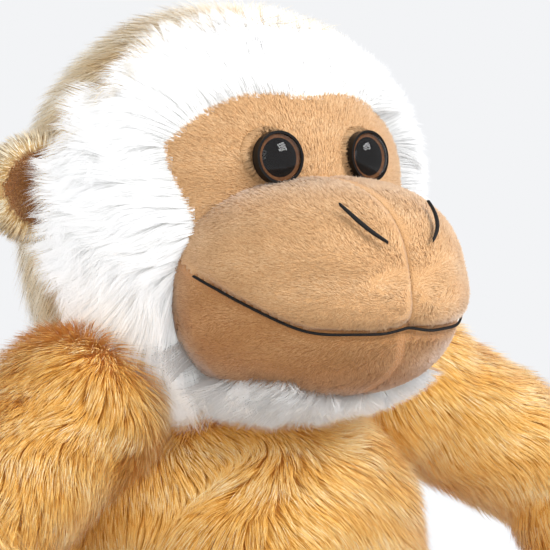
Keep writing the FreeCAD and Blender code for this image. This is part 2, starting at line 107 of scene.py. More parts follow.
class Recipe:
    """One material: a Principled shader and the nodes that feed it."""

    def __init__(self, name, **settings):
        self.material = bpy.data.materials.new(name)
        self.material.use_nodes = True
        self.tree = self.material.node_tree
        self.shader = self.tree.nodes["Principled BSDF"]
        for socket, value in settings.items():
            self.shader.inputs[socket.replace("_", " ")].default_value = value

    def node(self, kind, settings, inputs, output=0):
        """Add a node, set it, feed it with values or links, return one output."""
        made = self.tree.nodes.new(kind)
        for setting, value in settings.items():
            setattr(made, setting, value)
        for socket, value in inputs.items():
            self.feed(made.inputs[socket], value)
        return Value(self, made.outputs[output])

    def feed(self, socket, value):
        """Link a calculated value to a socket, or set a plain one on it."""
        if isinstance(value, Value):
            self.tree.links.new(value.socket, socket)
        else:
            socket.default_value = value

    def noise(self, scale, detail=3.0):
        """Cloudy number about 0.5, by the position on the piece in metres."""
        where = self.node("ShaderNodeTexCoord", {}, {}, output="Object")
        return self.node("ShaderNodeTexNoise", {},
                         {"Vector": where, "Scale": scale, "Detail": detail}, output="Fac")

    def spread(self, value, low, high):
        """Stretch a number from low..high to 0..1, clamped."""
        return self.node("ShaderNodeMapRange", {"clamp": True},
                         {"Value": value, "From Min": low, "From Max": high})

    def two_tone(self, share, first, second):
        """Colour the surface with a blend of two colours, by a share from 0 to 1."""
        blend = self.node("ShaderNodeMix", {"data_type": "RGBA"},
                          {0: share, 6: first, 7: second}, output=2)
        self.feed(self.shader.inputs["Base Color"], blend)

    def raise_by(self, value, distance):
        """Bump the surface by a number, distance metres high."""
        bump = self.node("ShaderNodeBump", {}, {"Height": value, "Distance": distance})
        self.feed(self.shader.inputs["Normal"], bump)


def paint(red, green, blue):
    """A display colour from 0 to 255 as the linear colour that shaders use."""
    shares = [channel / 255 for channel in (red, green, blue)]
    return tuple(s / 12.92 if s <= 0.04045 else ((s + 0.055) / 1.055) ** 2.4
                 for s in shares) + (1.0,)


# %% [markdown]
# The knitted backing under the pile shows only in partings and creases, where it
# is darker and warmer than the tips. Its material mixes two tones by a cloudy
# noise and adds a fine nap by bump, so it never reads as bare plastic.

# %% Backing materials
FINE_NAP = 2600.0


def backing(name, deep, light, nap=1400.0):
    """Cloth of two tones; a higher nap is a finer one."""
    cloth = Recipe(name, Roughness=0.92, Sheen_Weight=0.25, Sheen_Roughness=0.5,
                   Specular_IOR_Level=0.2)
    clouds = cloth.spread(cloth.noise(90.0, 4.0), 0.3, 0.7)
    fibres = cloth.noise(nap, 2.0)
    cloth.two_tone(clouds * 0.7 + 0.3 * fibres, deep, light)
    cloth.raise_by(fibres, 0.5 * MM)
    return cloth.material


gold_backing = backing("golden pile backing", paint(226, 154, 64), paint(238, 174, 90))
white_backing = backing("white pile backing", paint(246, 245, 242), paint(253, 253, 251))
tan_backing = backing("tan pile backing", paint(206, 166, 108), paint(228, 196, 142))
face_backing = backing("face plush backing", paint(194, 147, 98), paint(210, 165, 116), FINE_NAP)
# The jaw is the same plush as the face. Its deeper tones are painted shade for the underside of the
# muzzle.
painted_shade_jaw_backing = backing("jaw plush backing", paint(168, 115, 66), paint(184, 132, 82), FINE_NAP)
ear_backing = backing("ear plush backing", paint(120, 74, 36), paint(160, 104, 58), FINE_NAP)
print("backing materials ready")

# %% [markdown]
# A strand is too thin for a pattern of its own, so each tone is one plain
# material, and the variety comes from dealing several tones over thousands of
# strands: deeper at the root, paler at the tip. That is how dyed pile looks.

# %% Tones of the pile


def tones(name, *colours, sheen=0.35, rough=0.55, glow=0.0):
    """Plain fibre materials, deep root to pale tip; glow is painted light, an even emission that stands
    in for light scattered between the fibres.
    """
    return [Recipe("%s tone %d" % (name, number), Base_Color=colour, Emission_Color=colour,
                   Emission_Strength=glow, Roughness=rough, Sheen_Weight=sheen,
                   Sheen_Roughness=0.4, Specular_IOR_Level=0.25).material
            for number, colour in enumerate(colours)]


# The golden, white and tan tones glow a little: painted light that lifts the shade inside the pile.
gold_tones = tones("golden pile", paint(232, 160, 62), paint(240, 175, 78), paint(246, 191, 100),
                   paint(250, 209, 134), paint(253, 227, 176), glow=0.09)
white_tones = tones("white pile", paint(252, 251, 249), paint(254, 254, 253), paint(253, 253, 252),
                    paint(255, 255, 255), paint(255, 255, 255), sheen=0.6, glow=0.16)
tan_tones = tones("tan pile", paint(222, 180, 116), paint(234, 200, 142), paint(242, 216, 168),
                  paint(247, 229, 194), paint(251, 241, 220), glow=0.07)
face_tones = tones("face plush", paint(196, 148, 98), paint(205, 159, 110), paint(211, 167, 119),
                   paint(217, 175, 128), paint(224, 185, 140), rough=0.7)
# Painted shade: the jaw's pile is the face plush in deeper tones.
painted_shade_jaw_tones = tones("jaw plush", paint(170, 116, 66), paint(180, 127, 76), paint(189, 138, 86),
                  paint(197, 148, 97), paint(205, 158, 109), rough=0.7)
ear_tones = tones("ear plush", paint(128, 74, 34), paint(156, 98, 50), paint(176, 118, 66),
                  paint(190, 136, 84), paint(204, 156, 108), rough=0.7)
print("pile tones ready")

# %% [markdown]
# Every skin is a grid of points bent into its form, like the paper pattern of a
# balloon. A grid is quick to make with arrays, and its rows and columns give the
# directions for laying the pile. These helpers turn a grid into a mesh, line it
# with a real thickness of cloth, and sew it to the body that carries it.

# %% Grids and meshes


def grid_faces(rows, columns):
    """Quads of a grid of rows by columns, with its last column joined to its first."""
    row, column = np.meshgrid(np.arange(rows - 1), np.arange(columns), indexing="ij")
    after = (column + 1) % columns
    quads = [row * columns + column, row * columns + after,
             (row + 1) * columns + after, (row + 1) * columns + column]
    return np.stack(quads, -1).reshape(-1, 4)


def mesh_piece(name, points, faces, material, smooth=True):
    """A mesh object from arrays of points and faces (lists of equal length)."""
    mesh = bpy.data.meshes.new(name)
    mesh.from_pydata([tuple(p) for p in points], [], [tuple(int(i) for i in f) for f in faces])
    mesh.materials.append(material)
    mesh.validate()
    if smooth:
        mesh.shade_smooth()
    piece = bpy.data.objects.new(name, mesh)
    bpy.context.scene.collection.objects.link(piece)
    return piece


def lined(name, points, faces, material, thickness=1.2 * MM):
    """A cloth skin: the sheet of faces given a real thickness inwards."""
    used, index = np.unique(faces, return_inverse=True)
    piece = mesh_piece(name, points[used], index.reshape(faces.shape), material)
    lining = piece.modifiers.new("cloth", "SOLIDIFY")
    lining.thickness = thickness
    lining.offset = -1.0
    bpy.context.view_layer.update()
    graph = bpy.context.evaluated_depsgraph_get()
    mesh = bpy.data.meshes.new_from_object(piece.evaluated_get(graph))
    piece.modifiers.clear()
    piece.data = mesh
    return piece


def sew(skin, body, node=None):
    """A skin rides on a body and may stand for a node, whose frame part is hidden."""
    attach(skin, body)
    if node:
        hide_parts(node)


def face_normals(points, faces):
    """Normal of each quad, twice as long as its area."""
    a, b, c, d = [points[faces[:, k]] for k in range(4)]
    return np.cross(c - a, d - b)


def unit(vectors):
    """The same directions at length 1."""
    length = np.linalg.norm(vectors, axis=-1, keepdims=True)
    return vectors / np.maximum(length, 1e-12)


# %% [markdown]
# Roots are scattered evenly over a skin: big faces get more, and a seeded random
# generator makes the same toy every time. Each root keeps the smooth normal of
# the surface there, which the lean of its strand is measured from.


def scatter(points, faces, per_mm2, rng):
    """Root points and normals, with about per_mm2 roots on each square millimetre."""
    area_normal = face_normals(points, faces) / 2
    area = np.linalg.norm(area_normal, axis=1)
    corner = np.zeros_like(points)
    for k in range(4):
        np.add.at(corner, faces[:, k], area_normal)
    corner = unit(corner)
    count = int(area.sum() * 1e6 * per_mm2 * (1.0))
    pick = rng.choice(len(faces), count, p=area / area.sum())
    u, v = rng.random((2, count, 1))
    weights = [(1 - u) * (1 - v), u * (1 - v), u * v, (1 - u) * v]
    chosen = faces[pick]
    roots = sum(w * points[chosen[:, k]] for k, w in enumerate(weights))
    normals = unit(sum(w * corner[chosen[:, k]] for k, w in enumerate(weights)))
    return roots, normals


def ripple(places, wavelength, seed, count=6):
    """A smooth random vector at each place, each part about -1 to 1."""
    rng = np.random.default_rng(seed)
    total = np.zeros_like(places)
    for _ in range(count):
        way = unit(rng.normal(size=3)) * 2 * math.pi / (wavelength * rng.uniform(0.7, 1.5))
        total += np.sin(places @ way + rng.uniform(0, 6.28))[:, None] * rng.normal(size=3)
    return total / math.sqrt(count)


# %% [markdown]
# A strand leans over the way the pile is combed, more towards its tip, and thins
# to a point. It leans even at the root, so that most blades show their front to
# whoever looks at the toy. Neighbouring tips are drawn together into small locks,
# as in brushed plush. The shading normals are tilted towards the skin's own
# normal, because a pile scatters light like a soft surface and not like thousands
# of flat blades.

# %% Grow pile
CHUNK = 34000
STRAND = 0.18 * MM
SHORT_PILE = {"lean": (46, 76), "gather": 0.15, "segments": 2, "softness": 0.85}
GOLDEN_PILE = {"lean": (32, 70), "lock": 3.4 * MM, "gather": 0.38, "softness": 0.7, "floor": FLOOR}
pile_total = 0


def grow(name, roots, normals, comb, length, width, materials, body, slot, rng, lean=(25, 75),
         lock=3.0 * MM, gather=0.35, segments=3, softness=0.55, floor=None, shift=0.0):
    """Tapered blades from roots, in pieces of at most CHUNK strands, riding on a body."""
    global pile_total
    count = len(roots)
    length = np.broadcast_to(np.asarray(length, float), (count,))
    side = unit(np.cross(comb, normals))
    comb = unit(np.cross(normals, side))
    grown = length * rng.uniform(0.72, 1.1, count)
    low, high = np.radians(lean[0]), np.radians(lean[1])
    jitter = rng.normal(0, 0.12, count)
    steps = np.linspace(0, 1, segments + 1)
    line = [roots - normals * 0.4 * MM]
    for step in steps[1:]:
        angle = np.clip(low + (high - low) * step ** 0.8 + jitter, 0.05, 1.62)[:, None]
        way = normals * np.cos(angle) + comb * np.sin(angle)
        line.append(line[-1] + way * (grown / segments)[:, None])
    cell = np.floor(roots / lock + ripple(roots, 4 * lock, 5, 4) * 0.6).astype(np.int64)
    key = (cell @ np.array([73856093, 19349663, 83492791])) % 999983
    _, group = np.unique(key, return_inverse=True)
    size = np.bincount(group)
    tip = np.stack([np.bincount(group, line[-1][:, k]) for k in range(3)], 1) / size[:, None]
    pull = tip[group] - line[-1]
    reach = np.linalg.norm(pull, axis=1, keepdims=True)
    pull *= np.minimum(1.0, 3 * lock / np.maximum(reach, 1e-9))
    for k, step in enumerate(steps):
        line[k] = line[k] + pull * gather * step ** 1.6
    if floor is not None:
        for points in line:
            points[:, 2] = np.maximum(points[:, 2], floor + 0.2 * MM)
    turn = rng.uniform(-0.9, 0.9, count)[:, None]
    across = unit(side * np.cos(turn) + normals * np.sin(turn))
    half = width * rng.uniform(0.7, 1.3, count)[:, None] / 2
    taper = [0.8, 1.0, 0.75, 0.5][:segments]
    layers = []
    for k in range(segments):
        layers += [line[k] - across * half * taper[k], line[k] + across * half * taper[k]]
    layers.append(line[-1])
    shade = unit(normals * softness + unit(line[-1] - line[0]) * 0.15
                 + unit(np.cross(line[-1] - line[0], across)) * (1 - softness))
    flip = np.sign(np.sum(shade * normals, 1, keepdims=True))
    shade = unit(shade * np.where(flip == 0, 1, flip))
    base_tone = np.clip(rng.normal(1.1 + shift, 0.55, count) + ripple(roots, 14 * MM, 9)[:, 0] * 0.5,
                        0, len(materials) - 2)
    for number, start in enumerate(range(0, count, CHUNK)):
        part = slice(start, start + CHUNK)
        title = name if count <= CHUNK else "%s_%d" % (name, number + 1)
        piece = blades(title, [layer[part] for layer in layers], shade[part], base_tone[part],
                       segments, materials)
        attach(piece, body)
    pile_total += count
    print(name, count, "strands")


def blades(name, layers, shade, base_tone, segments, materials):
    """One mesh of many blades; tones rise from root to tip."""
    count = len(shade)
    per = 2 * segments + 1
    points = np.stack(layers, 1).reshape(-1, 3)
    first = np.arange(count)[:, None] * per
    corner = np.array([0, 1, 3, 2])
    quads = [first + corner + 2 * k for k in range(segments - 1)]
    tips = first + np.array([0, 1, 2]) + 2 * (segments - 1)
    loops = np.concatenate(quads + [tips], 1).ravel().astype(np.int32)
    sizes = np.array([4] * (segments - 1) + [3])
    starts = (np.concatenate([[0], np.cumsum(sizes)[:-1]])[None, :]
              + np.arange(count)[:, None] * sizes.sum()).astype(np.int32).ravel()
    mesh = bpy.data.meshes.new(name)
    mesh.vertices.add(len(points))
    mesh.vertices.foreach_set("co", points.astype(np.float32).ravel())
    mesh.loops.add(len(loops))
    mesh.loops.foreach_set("vertex_index", loops)
    mesh.polygons.add(len(starts))
    mesh.polygons.foreach_set("loop_start", starts)
    rise = np.linspace(-0.8, 1.6, segments)
    tone = np.clip(np.rint(base_tone[:, None] + rise[None, :]), 0, len(materials) - 1)
    mesh.polygons.foreach_set("material_index", tone.astype(np.int32).ravel())
    for material in materials:
        mesh.materials.append(material)
    mesh.update(calc_edges=True)
    mesh.shade_smooth()
    mesh.normals_split_custom_set_from_vertices(np.repeat(shade, per, axis=0))
    piece = bpy.data.objects.new(name, mesh)
    bpy.context.scene.collection.objects.link(piece)
    return piece


# %% [markdown]
# The head is a slightly flattened ball. It is one form, and three panels are cut
# from it: the short-pile mask round the eyes, the white ruff, and the tan back.
# Every point knows its own height and depth, so a panel is a choice of faces. The
# cloth lies a little inside the frame's solid, to leave room for the pile.

# %% Head form


def rounded(rows, columns, half, power=2.0):
    """Grid of a rounded form about the origin; power above 2 makes it boxier."""
    rise = np.linspace(-math.pi / 2, math.pi / 2, rows)[:, None]
    turn = np.linspace(0, 2 * math.pi, columns, endpoint=False)[None, :]
    way = np.stack([np.cos(rise) * np.cos(turn), np.cos(rise) * np.sin(turn),
                    np.sin(rise) * np.ones_like(turn)], -1)
    flat = np.hypot(way[..., 0] / half[0], way[..., 1] / half[1])
    reach = (flat ** power + np.abs(way[..., 2] / half[2]) ** power) ** (-1 / power)
    return way * reach[..., None]


INSET = 0.985
HEAD_HALF = np.array([54, 46, 52]) * MM
back_low, back_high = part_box("head_back_panel")
HEAD_MIDDLE = np.array([0, 6 * MM, back_high.z - HEAD_HALF[2]])
head_points = (rounded(121, 200, HEAD_HALF, 2.15) * INSET + HEAD_MIDDLE).reshape(-1, 3)
head_faces = grid_faces(121, 200)
head_centres = head_points[head_faces].mean(1)


def in_mask(places):
    """True inside the outline of the face patch: a wide brow narrowing to the muzzle."""
    x, z = np.abs(places[:, 0]) / MM, (places[:, 2] - HEAD_MIDDLE[2]) / MM
    wide = 38.5 - 0.35 * np.maximum(0, 12 - z) - 0.8 * np.maximum(0, -4 - z)
    brow = 31.5 - 0.02 * np.maximum(0, x - 13) ** 2 - 0.8 * np.exp(-(x / 7) ** 2)
    return (x < wide) & (z < brow) & (places[:, 1] < HEAD_MIDDLE[1])


masked = in_mask(head_centres)
above_neck = head_centres[:, 2] > back_low.z + 0.5 * MM
ear_level = np.maximum(0, head_centres[:, 2] - 183 * MM)
behind = head_centres[:, 1] > back_low.y - 0.33 * ear_level
panels = {"face_patch": masked & above_neck, "face_ruff": ~masked & ~behind & above_neck,
          "head_back_panel": behind & ~masked & above_neck}
print({name: int(chosen.sum()) for name, chosen in panels.items()})

# %% [markdown]
# The pile on the head is laid as it is brushed. On the ruff it runs away from the
# middle of the face on every side, so it frames the face like a sunburst, and it
# gets longer further out. On the crown and nape it runs back and down.

# %% Head skins and pile
rng = np.random.default_rng(20)
HEAD_CLOTH = {"face_patch": (face_backing, "face_plush"), "face_ruff": (white_backing, "white_fur"),
              "head_back_panel": (tan_backing, "tan_fur")}
for panel, (material, slot) in HEAD_CLOTH.items():
    skin = lined(panel + "_skin", head_points, head_faces[panels[panel]], material)
    sew(skin, "head", panel)

FACE_CENTRE = HEAD_MIDDLE + np.array([0, -40, 2]) * MM
MUZZLE_HALF = np.array([40, 40, 30]) * MM
MUZZLE_MIDDLE = np.array([0, -35, 156.5]) * MM


def away_from_face(roots, back=0.15, drop=0.2):
    """Comb that runs off the face on all sides, with a little weight."""
    return unit(unit((roots - FACE_CENTRE) * np.array([1, 0.3, 1])) + np.array([0, back, -drop]))


def clear_of_muzzle(roots, normals):
    """Keep only the roots that the muzzle doesn't cover, but for its outer millimetre."""
    offset = (roots - MUZZLE_MIDDLE) / (MUZZLE_HALF - 1.0 * MM)
    outside = np.sum(offset ** 2, axis=1) > 1
    return roots[outside], normals[outside]


front = panels["face_ruff"] | panels["face_patch"]
roots, normals = clear_of_muzzle(*scatter(head_points, head_faces[front], 8.0, rng))
on_ruff = ~in_mask(roots)
roots, normals = roots[on_ruff], normals[on_ruff]
from_face = np.linalg.norm((roots - FACE_CENTRE)[:, [0, 2]] / np.array([40, 32]) / MM, axis=1)
under_jaw = np.clip((HEAD_MIDDLE[2] - 14 * MM - roots[:, 2]) / (16 * MM), 0, 1)
crown = np.clip((roots[:, 2] - HEAD_MIDDLE[2] - 25 * MM) / (20 * MM), 0, 1)
reach = (np.interp(from_face, [0.85, 1.1, 1.5], [8, 14, 18]) + 7 * under_jaw - 6 * crown) * MM
comb = unit(away_from_face(roots) + under_jaw[:, None] * np.array([0, -0.7, -0.9])
            + ripple(roots, 9 * MM, 13) * 0.42)
grow("face_ruff_pile", roots, normals, comb, reach, 0.14 * MM, white_tones, "head",
     "white_fur", rng, lean=(24, 64), lock=3.2 * MM, gather=0.42, softness=0.9, shift=0.9)

roots, normals = scatter(head_points, head_faces[panels["head_back_panel"]], 3.6, rng)
low = np.clip((HEAD_MIDDLE[2] + 5 * MM - roots[:, 2]) / (35 * MM), 0, 1)
comb = unit(np.array([0, 0.4, -1.0]) + ripple(roots, 30 * MM, 3) * 0.3
            + unit(roots - HEAD_MIDDLE) * np.array([0.7, 0.2, 0]))
grow("head_back_pile", roots, normals, comb, (14 + 9 * low) * MM, STRAND, tan_tones, "head",
     "tan_fur", rng, lean=(32, 72), lock=3.0 * MM, gather=0.35, softness=0.7, shift=0.5)

# %% [markdown]
# The face is short pile, about two millimetres. It leans over and lies outwards
# from the middle of the face. Roots are kept off the eyes.

# %% Face pile
EYES = {side: middle_of("eye_dome_" + side)[0] for side in ("right", "left")}
EYE_RADIUS = middle_of("eye_cup_left")[1][2] * 0.98


def clear_of_eyes(roots, normals):
    """Keep only the roots that no eye covers."""
    keep = np.ones(len(roots), bool)
    for centre in EYES.values():
        keep &= np.linalg.norm((roots - centre)[:, [0, 2]], axis=1) > EYE_RADIUS * 1.03
    return roots[keep], normals[keep]


roots, normals = clear_of_muzzle(*scatter(head_points, head_faces[front], 12, rng))
on_face = in_mask(roots)
roots, normals = clear_of_eyes(roots[on_face], normals[on_face])
grow("face_patch_pile", roots, normals, away_from_face(roots, 0.5, 0.0), 2.4 * MM, 0.15 * MM,
     face_tones, "head", "face_plush", rng, lock=1.4 * MM, **SHORT_PILE)

# %% [markdown]
# The eye is pressed into the pile, so some of the pile curls over its black rim.
# A ring of longer strands stands up beside each cup and bends inwards at the top.

# %% Pile round the eyes
patch = head_faces[panels["face_patch"]]
for side, centre in EYES.items():
    roots, normals = clear_of_muzzle(*scatter(head_points, patch, 26, rng))
    roots, normals = clear_of_eyes(roots, normals)
    inwards = (centre - roots) * np.array([1, 0, 1])
    near = np.linalg.norm(inwards, axis=1) < EYE_RADIUS * 1.2
    grow("eyelid_%s_pile" % side, roots[near], normals[near], unit(inwards[near]), 3.1 * MM,
         0.16 * MM, face_tones, "head", "face_plush", rng, lean=(4, 46), lock=1.4 * MM,
         gather=0.2, softness=0.85)

# %% [markdown]
# The muzzle is a fuller form, nearly round from above and boxier from the side.
# The mouth is a valley pressed into it, with a soft lip above, and the two cheek
# panels meet in a shallow centre seam. All of that is displacement of one grid,
# worked out from each point's height above the mouth line.

# %% Muzzle form
MUZZLE_POWER = 2.5


def mouth_height(x, y):
    """Height of the mouth line, in millimetres, over a place in the same unit."""
    dip = 2.2 * np.exp(-((np.abs(x) - 26) / 9) ** 2)
    return 161 + 0.38 * (y + 37) + 1.6 * np.exp(-(x / 6) ** 2) - dip


def press_mouth(points):
    """Move points of the muzzle in and out: lips, mouth valley and centre seam."""
    x, y, z = (points / MM).T
    above = z - mouth_height(x, y)
    front = np.clip((-y - 34) / 10, 0, 1)
    upper = 1 / (1 + np.exp(-above / 0.8))
    valley = np.exp(-(above / 1.7) ** 2)
    lip = np.exp(-((above - 6) / 4.5) ** 2)
    seam = np.exp(-(x / 1.4) ** 2)
    cheek = np.exp(-((np.abs(x) - 15) / 12) ** 2 - ((z - 160) / 14) ** 2)
    move = -1.5 * valley * front
    move += 1.1 * lip * front
    move -= 0.9 * (1 - upper) * front
    move -= 0.6 * seam * upper * front
    move += 1.3 * cheek * front
    return points + unit(points - MUZZLE_MIDDLE) * move[:, None] * MM


muzzle_grid = rounded(121, 220, MUZZLE_HALF * INSET, MUZZLE_POWER) + MUZZLE_MIDDLE
muzzle_points = press_mouth(muzzle_grid.reshape(-1, 3))
muzzle_faces = grid_faces(121, 220)
muzzle_centres = muzzle_points[muzzle_faces].mean(1)
outside_head = np.sum(((muzzle_centres - HEAD_MIDDLE) / HEAD_HALF) ** 2, 1) > 0.9
above_mouth = (muzzle_centres[:, 2] / MM
               > mouth_height(muzzle_centres[:, 0] / MM, muzzle_centres[:, 1] / MM))
muzzle_parts = {"muzzle_panel_right": above_mouth & (muzzle_centres[:, 0] < 0) & outside_head,
                "muzzle_panel_left": above_mouth & (muzzle_centres[:, 0] >= 0) & outside_head,
                "jaw_panel": ~above_mouth & outside_head}
for panel, chosen in muzzle_parts.items():
    # The jaw panel takes the deeper jaw colours, which are painted shade on the cheeks' own plush.
    lower = panel == "jaw_panel"
    material, fibres = (painted_shade_jaw_backing, painted_shade_jaw_tones) if lower else (face_backing, face_tones)
    slot = "jaw_plush" if lower else "face_plush"
    skin = lined(panel + "_skin", muzzle_points, muzzle_faces[chosen], material)
    sew(skin, "head", panel)
    roots, normals = scatter(muzzle_points, muzzle_faces[chosen], 12, rng)
    comb = unit(np.array([0, 0.8, 0]) + unit(roots - MUZZLE_MIDDLE) * np.array([1, 0, 1])
                + ripple(roots, 9 * MM, 7) * 0.45)
    nearness = np.abs(roots[:, 2] / MM - mouth_height(roots[:, 0] / MM, roots[:, 1] / MM))
    short = np.clip(nearness / 2.5, 0.35, 1) * np.clip(np.abs(roots[:, 0]) / (2.0 * MM), 0.45, 1)
    grow(panel + "_pile", roots, normals, comb, 2.3 * MM * short, 0.16 * MM, fibres, "head", slot,
         rng, lock=1.4 * MM, **SHORT_PILE)

# %% [markdown]
# The ruff carries on under the jaw as a beard. It is rooted on the underside of
# the jaw, where the ruff's fabric is sewn to it, and it hangs down and forwards.

# %% Beard
facing = unit(face_normals(muzzle_points, muzzle_faces))
underside = muzzle_parts["jaw_panel"] & (muzzle_centres[:, 2] < 143 * MM)
underside &= (facing[:, 2] < -0.8) | (muzzle_centres[:, 1] > -24 * MM)
underside &= muzzle_centres[:, 1] > -54 * MM
roots, normals = scatter(muzzle_points, muzzle_faces[underside], 8, rng)
fringe = np.clip((-roots[:, 1] / MM - 20) / 34, 0, 1)
comb = unit(unit((roots - MUZZLE_MIDDLE) * np.array([1, 0.2, 0.4])) + ripple(roots, 9 * MM, 15) * 0.5)
grow("jaw_beard_pile", roots, normals, comb, (15 - 8 * fringe) * MM, 0.14 * MM, white_tones,
     "head", "white_fur", rng, lean=(10, 50), lock=3.0 * MM, gather=0.4, softness=0.9, shift=0.9)

# %% [markdown]
# The mouth and the nostrils are satin stitch: close parallel threads, each laid
# across the line and sinking at both ends. One small spindle is repeated along a
# path on the surface, so the line catches the light as real embroidery does.

# %% Satin stitches


def muzzle_point(turn, height):
    """Point of the muzzle surface at an angle from straight ahead and a height in mm."""
    rise = (height * MM - MUZZLE_MIDDLE[2]) / MUZZLE_HALF[2]
    flat = (1 - np.abs(rise) ** MUZZLE_POWER) ** (1 / MUZZLE_POWER)
    return MUZZLE_MIDDLE + np.stack([MUZZLE_HALF[0] * flat * np.sin(turn),
                                     -MUZZLE_HALF[1] * flat * np.cos(turn),
                                     MUZZLE_HALF[2] * rise], -1)


def settle(path):
    """Place points on the pressed muzzle, and give the surface normal there."""
    pressed = press_mouth(path)
    offset = (path - MUZZLE_MIDDLE) / MUZZLE_HALF ** 2
    return pressed, unit(offset)


def spindles(name, centres, ways, normals, lengths, thick, material):
    """Short threads, thick in the middle, each along its way."""
    rings, sides = 5, 6
    turn = np.linspace(0, 2 * math.pi, sides, endpoint=False)
    points, faces = [], []
    for centre, way, normal, length in zip(centres, ways, normals, lengths):
        across = np.cross(way, normal)
        first = len(points)
        for t in np.linspace(-1, 1, rings):
            swell = thick / 2 * math.sqrt(max(0.06, 1 - t ** 4))
            bow = normal * (0.45 * (1 - t ** 2) - 0.15) * thick * 1.6
            for a in turn:
                points.append(centre + way * t * length / 2 + bow
                              + (across * math.cos(a) + normal * math.sin(a)) * swell)
        for r in range(rings - 1):
            for s in range(sides):
                faces.append((first + r * sides + s, first + r * sides + (s + 1) % sides,
                              first + (r + 1) * sides + (s + 1) % sides,
                              first + (r + 1) * sides + s))
        faces.append(tuple(first + s for s in reversed(range(sides))))
        faces.append(tuple(first + (rings - 1) * sides + s for s in range(sides)))
    return mesh_piece(name, points, faces, material)


thread = Recipe("black embroidery thread", Roughness=0.6, Specular_IOR_Level=0.25)
thread.two_tone(thread.spread(thread.noise(900.0, 2.0), 0.3, 0.7), paint(6, 5, 5), paint(20, 17, 16))
thread.raise_by(thread.noise(2600.0, 2.0), 0.2 * MM)
STITCH_STEP = 0.34 * MM


def along_path(path, spacing):
    """Points at even steps along a path, the direction there, and the share of the way."""
    step = np.linalg.norm(np.diff(path, axis=0), axis=1)
    run = np.concatenate([[0], np.cumsum(step)])
    where = np.arange(0, run[-1], spacing)
    even = np.stack([np.interp(where, run, path[:, k]) for k in range(3)], 1)
    return even, unit(np.gradient(even, axis=0)), where / run[-1]


def embroider(name, node, path, along, across, raised, thick, length_at):
    """A row of stitches on the muzzle; along and across set their slant, in mm otherwise."""
    even, ways, share = along_path(path, STITCH_STEP)
    pressed, normals = settle(even)
    slant = unit(ways * along + np.cross(normals, ways) * across)
    row = spindles(name, pressed + normals * raised * MM, slant, normals, length_at(share) * MM,
                   thick * MM, thread.material)
    sew(row, "head", node)
    print(node, len(even), "stitches")


turn = np.radians(np.linspace(-88, 88, 300))
line = muzzle_point(turn, np.full(300, 152.0))
for _ in range(12):
    line = muzzle_point(turn, mouth_height(line[:, 0] / MM, line[:, 1] / MM))
embroider("mouth_thread_stitches", "mouth_thread", line, 0.75, 0.66, 1.0, 0.5,
          lambda share: np.full(len(share), 1.15))
for side, sign in SIDES:
    steps = np.linspace(0, 1, 40)
    turn = np.radians(sign * (27 - 16.0 * steps ** 0.9))
    line = muzzle_point(turn, 178.4 - 8.9 * steps - 0.8 * np.sin(math.pi * steps))
    embroider("nostril_%s_stitches" % side, "nostril_thread_" + side, line, 0.9, 0.5 * sign,
              1.6, 0.6, lambda share: 1.3 + 1.3 * np.sin(math.pi * share))

# %% [markdown]
# The eyes are hard moulded plastic, and the frame already has their true shape:
# a black cup, a printed iris and pupil, and a clear dome. They keep that shape
# and only get materials. The dome is a part-transparent gloss, so the brown ring
# and the pupil show through it, and the lamp makes a small glint on it.

# %% Eyes


def finish_node(node, material):
    """Give a frame node its final material, leaving its shape alone."""
    mesh = frame["nodes"][node].data
    mesh.materials.clear()
    mesh.materials.append(material)


black = Recipe("black moulded eye", Roughness=0.3, Specular_IOR_Level=0.15)
black.two_tone(black.spread(black.noise(300.0, 2.0), 0.3, 0.7), paint(8, 7, 7), paint(16, 14, 13))
pupil = Recipe("printed pupil", Roughness=0.6, Specular_IOR_Level=0.1)
pupil.two_tone(pupil.spread(pupil.noise(500.0), 0.3, 0.7), paint(3, 3, 3), paint(9, 7, 7))
iris = Recipe("printed brown iris", Roughness=0.3)
iris.two_tone(iris.spread(iris.noise(900.0, 5.0), 0.25, 0.75), paint(170, 100, 48), paint(222, 150, 92))
clear = Recipe("clear eye dome", Roughness=0.02, Alpha=0.35, IOR=1.52, Base_Color=paint(12, 9, 8))
washer = Recipe("moulded washer", Roughness=0.5)
washer.two_tone(washer.noise(200.0), paint(216, 214, 206), paint(232, 230, 224))
filling = Recipe("fibre filling", Roughness=0.95, Sheen_Weight=0.3)
tuft = filling.noise(120.0, 6.0)
filling.two_tone(tuft, paint(214, 214, 210), paint(248, 248, 246))
filling.raise_by(tuft, 2 * MM)
for side, _ in SIDES:
    for part, recipe in (("cup", black), ("pupil", pupil), ("iris", iris), ("dome", clear),
                         ("washer", washer)):
        finish_node("eye_%s_%s" % (part, side), recipe.material)
for node in frame["nodes"]:
    if node.endswith("stuffing") or "_stuffing_" in node:
        finish_node(node, filling.material)
print("eyes and filling finished")

# %% [markdown]
# An ear is two layers: a furry back that rolls over the rim, and a short-pile
# brown lining set into the hollow. Each is half of a flat rounded form, and the
# hollow is pressed into its front.

# %% Ears


def turned(points, angle):
    """Turn points about the vertical, in radians."""
    c, s = math.cos(angle), math.sin(angle)
    return points @ np.array([[c, s, 0], [-s, c, 0], [0, 0, 1]])


